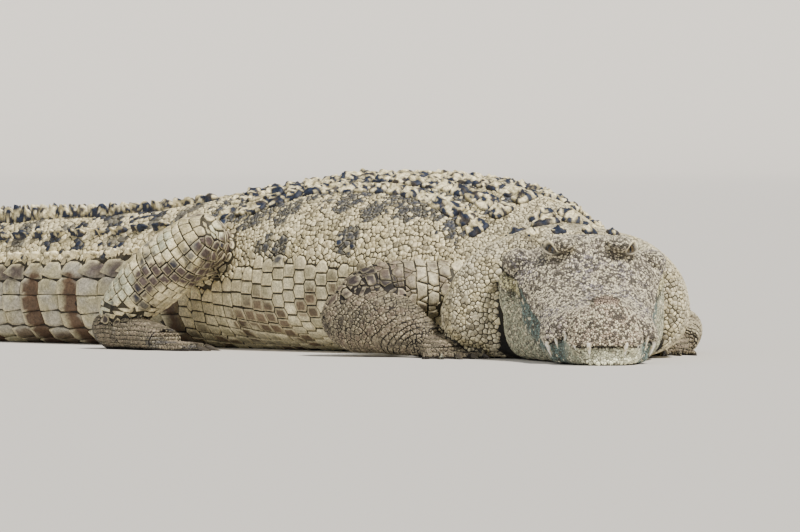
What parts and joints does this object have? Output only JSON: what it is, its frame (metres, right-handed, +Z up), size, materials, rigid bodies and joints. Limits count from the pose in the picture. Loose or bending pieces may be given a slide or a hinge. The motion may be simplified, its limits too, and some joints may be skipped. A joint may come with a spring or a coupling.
{
  "type": "mugger crocodile",
  "caption": "Life-size adult crocodile lying flat on its belly with shut jaws, head turned to its right, legs folded at its sides and the tail in a gentle curve.",
  "frame": {"origin": "on the floor, under the middle of the trunk, on the flat of the belly", "axes": "+X along the trunk towards the head, +Y to the animal's left, +Z up"},
  "size_m": [3.6112, 0.9793, 0.3848],
  "materials": {
    "body_skin": "rough scaly hide, pale grey-green and cream scales with dark seams and blue-black blotches on the back",
    "head_skin": "fine rough hide over bone, grey-brown mottled with cream and black specks",
    "jaw_skin": "smoother pale grey-green hide with fine cracks",
    "tail_skin": "large rectangular scales, pale grey-green with dark brown bands and blue-black crests",
    "limb_skin": "rough grey-brown scales with dark creases",
    "eye": "wet golden-olive eye with an upright slit pupil"
  },
  "bodies": {
    "root": {"head": "head_skin", "lower_jaw": "jaw_skin", "eye_left": "eye", "eye_right": "eye", "neck": "body_skin", "torso": "body_skin", "tail_base": "tail_skin", "tail_middle": "tail_skin", "tail_tip": "tail_skin", "front_right_upper_arm": "limb_skin", "front_right_forearm": "limb_skin", "front_right_hand": "limb_skin", "front_left_upper_arm": "limb_skin", "front_left_forearm": "limb_skin", "front_left_hand": "limb_skin", "hind_right_thigh": "limb_skin", "hind_right_shank": "limb_skin", "hind_right_foot": "limb_skin", "hind_left_thigh": "limb_skin", "hind_left_shank": "limb_skin", "hind_left_foot": "limb_skin"}
  },
  "joints": []
}
